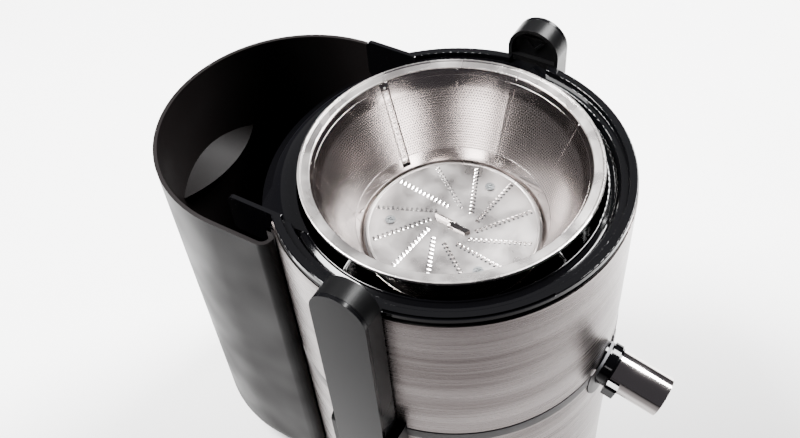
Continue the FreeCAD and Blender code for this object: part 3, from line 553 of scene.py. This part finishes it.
beads = bmesh.new()
for z in (231.5 * MM, 273.0 * MM):
    add_ring(beads, cone_radius(z), z, 0.14 * MM)
piece_from("strainer_beads", beads, etched, "strainer")

# %% [markdown]
# ## Dial marks
# The knob's bezel carries small raised marks for off and two speeds: one dot for slow, two for fast
# and a larger dot for off. They are moulded in and painted, so each is a low domed disc.

# %% Raised dots on the bezel
knob_low, knob_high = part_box("speed_knob")
knob_z = (knob_low.z + knob_high.z) / 2
face_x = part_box("knob_bezel")[0].x
MARK_RING, MARK_GAP, MARK_HEIGHT = 22.0 * MM, 6, 0.25 * MM
DOT_RADIUS, OFF_RADIUS = 0.75 * MM, 1.1 * MM
marks = bmesh.new()


def add_dome(mesh, y, z, radius, height):
    shape = bmesh.ops.create_uvsphere(mesh, u_segments=16, v_segments=8, radius=1.0)
    for vert in shape["verts"]:
        vert.co = Vector((face_x + vert.co.z * height, y + vert.co.x * radius, z + vert.co.y * radius))


for degrees, dots in ((90, 0), (45, 1), (0, 2)):
    for k in range(max(dots, 1)):
        turn = math.radians(degrees + (k - (dots - 1) / 2) * MARK_GAP * (dots > 0))
        y, z = MARK_RING * math.cos(turn), knob_z + MARK_RING * math.sin(turn)
        add_dome(marks, y, z, DOT_RADIUS if dots else OFF_RADIUS, MARK_HEIGHT)
piece_from("dial_marks", marks, plastic["white_abs_insert"], "base")

# %% [markdown]
# ## Floor, light and camera
# The table is a pale matte sheet with painted shade on its near side: its colour darkens towards -X
# and -Y, so that the steel has something dark to mirror. Steel and gloss plastic show what surrounds
# them, so the light is built from soft panels: a strong one behind the juicer, one on its spout's right
# and a broad weak one between them, which lights the flat disc. The dim room gives the steel its dark bands.

# %% Pale floor with painted shade on the near side
made, tree, where = start_material("pale_floor_painted_near_shade")
mottle = add(tree, "TexNoise", {"Vector": where, "Scale": 9.0, "Detail": 2.0})
paper = add(tree, "Mix", {
    "Factor": mottle.outputs["Fac"], "A": colour("#f1f0f0"), "B": colour("#f6f6f5"),
}, data_type="RGBA")
# Painted shade: the floor's colour goes from pale paper to dark grey towards -X and -Y, the near side.
depth = add(tree, "VectorMath", {0: where, 1: (0.82, 0.57, 0.0)}, operation="DOT_PRODUCT")
shade = add(tree, "MapRange", {
    "Value": depth.outputs["Value"], "From Min": -0.30, "From Max": 0.10,
}, interpolation_type="SMOOTHSTEP")
floor_with_painted_shade = add(tree, "Mix", {
    "Factor": shade.outputs[0], "A": colour("#4c4a4b"), "B": paper.outputs["Result"],
}, data_type="RGBA")
finish_material(tree, add(tree, "BsdfPrincipled", {"Base Color": floor_with_painted_shade.outputs["Result"], "Roughness": 0.9}))
FLOOR_HALF, FLOOR_DROP = 12.0, 0.5 * MM
floor_corners = [(FLOOR_HALF * x, FLOOR_HALF * y, 0) for x, y in ((-1, -1), (1, -1), (1, 1), (-1, 1))]
floor_mesh = bpy.data.meshes.new("floor")
floor_mesh.from_pydata(floor_corners, [], [(0, 1, 2, 3)])
floor_mesh.materials.append(made)
floor = bpy.data.objects.new("floor", floor_mesh)
floor.location.z = -FLOOR_DROP
bpy.context.scene.collection.objects.link(floor)
print("floor half width", FLOOR_HALF)

# %% Soft panels and a dim room
def soft_panel(name, azimuth, elevation, distance, width, height, watts, aim, spread):
    """An area light; azimuth is the side of the object that it stands on, and aim is what it faces."""
    light = bpy.data.lights.new(name, "AREA")
    light.shape = "RECTANGLE"
    light.size, light.size_y, light.energy = width, height, watts
    light.spread = math.radians(spread)
    lamp = bpy.data.objects.new(name, light)
    a, e = math.radians(azimuth), math.radians(elevation)
    toward = Vector((math.cos(a) * math.cos(e), math.sin(a) * math.cos(e), math.sin(e)))
    lamp.location = toward * distance
    lamp.rotation_mode = "QUATERNION"
    lamp.rotation_quaternion = (lamp.location - Vector(aim)).to_track_quat("Z", "Y")
    bpy.context.scene.collection.objects.link(lamp)
    print(name, "at", [round(v, 2) for v in lamp.location], watts, "W")


soft_panel("panel_key", 112, 58, 1.9, 0.7, 0.7, 70, (0.25, 0.3, 0.0), 110)
soft_panel("panel_right", -22, 52, 1.9, 0.7, 0.9, 62, (0.35, 0.0, 0.0), 110)
soft_panel("panel_mirror", 35, 47, 1.7, 1.6, 1.1, 1.8, (0.0, 0.0, 0.25), 180)
world = bpy.data.worlds.new("dim_room")
world.use_nodes = True
world.node_tree.nodes.clear()
room = add(world.node_tree, "Background", {"Color": colour("#cfcbd6"), "Strength": 0.12})
add(world.node_tree, "OutputWorld", {"Surface": room.outputs[0]})
bpy.context.scene.world = world

# %% Camera
camera_data = bpy.data.cameras.new("camera")
camera_data.lens, camera_data.sensor_width = 43.82, 36.0
camera = bpy.data.objects.new("camera", camera_data)
right = Vector((0.5039, -0.8613, -0.0658))
up = Vector((0.6773, 0.3467, 0.6489))
forward = Vector((0.5361, 0.3716, -0.7580))
turn = Matrix((right, up, -forward)).transposed().to_quaternion()
camera.rotation_mode = "QUATERNION"
camera.rotation_quaternion = turn
camera.location = (-0.31378, -0.18116, 0.65332)
bpy.context.scene.collection.objects.link(camera)
bpy.context.scene.camera = camera
print("lens", camera_data.lens, "mm at", [round(v, 3) for v in camera.location])
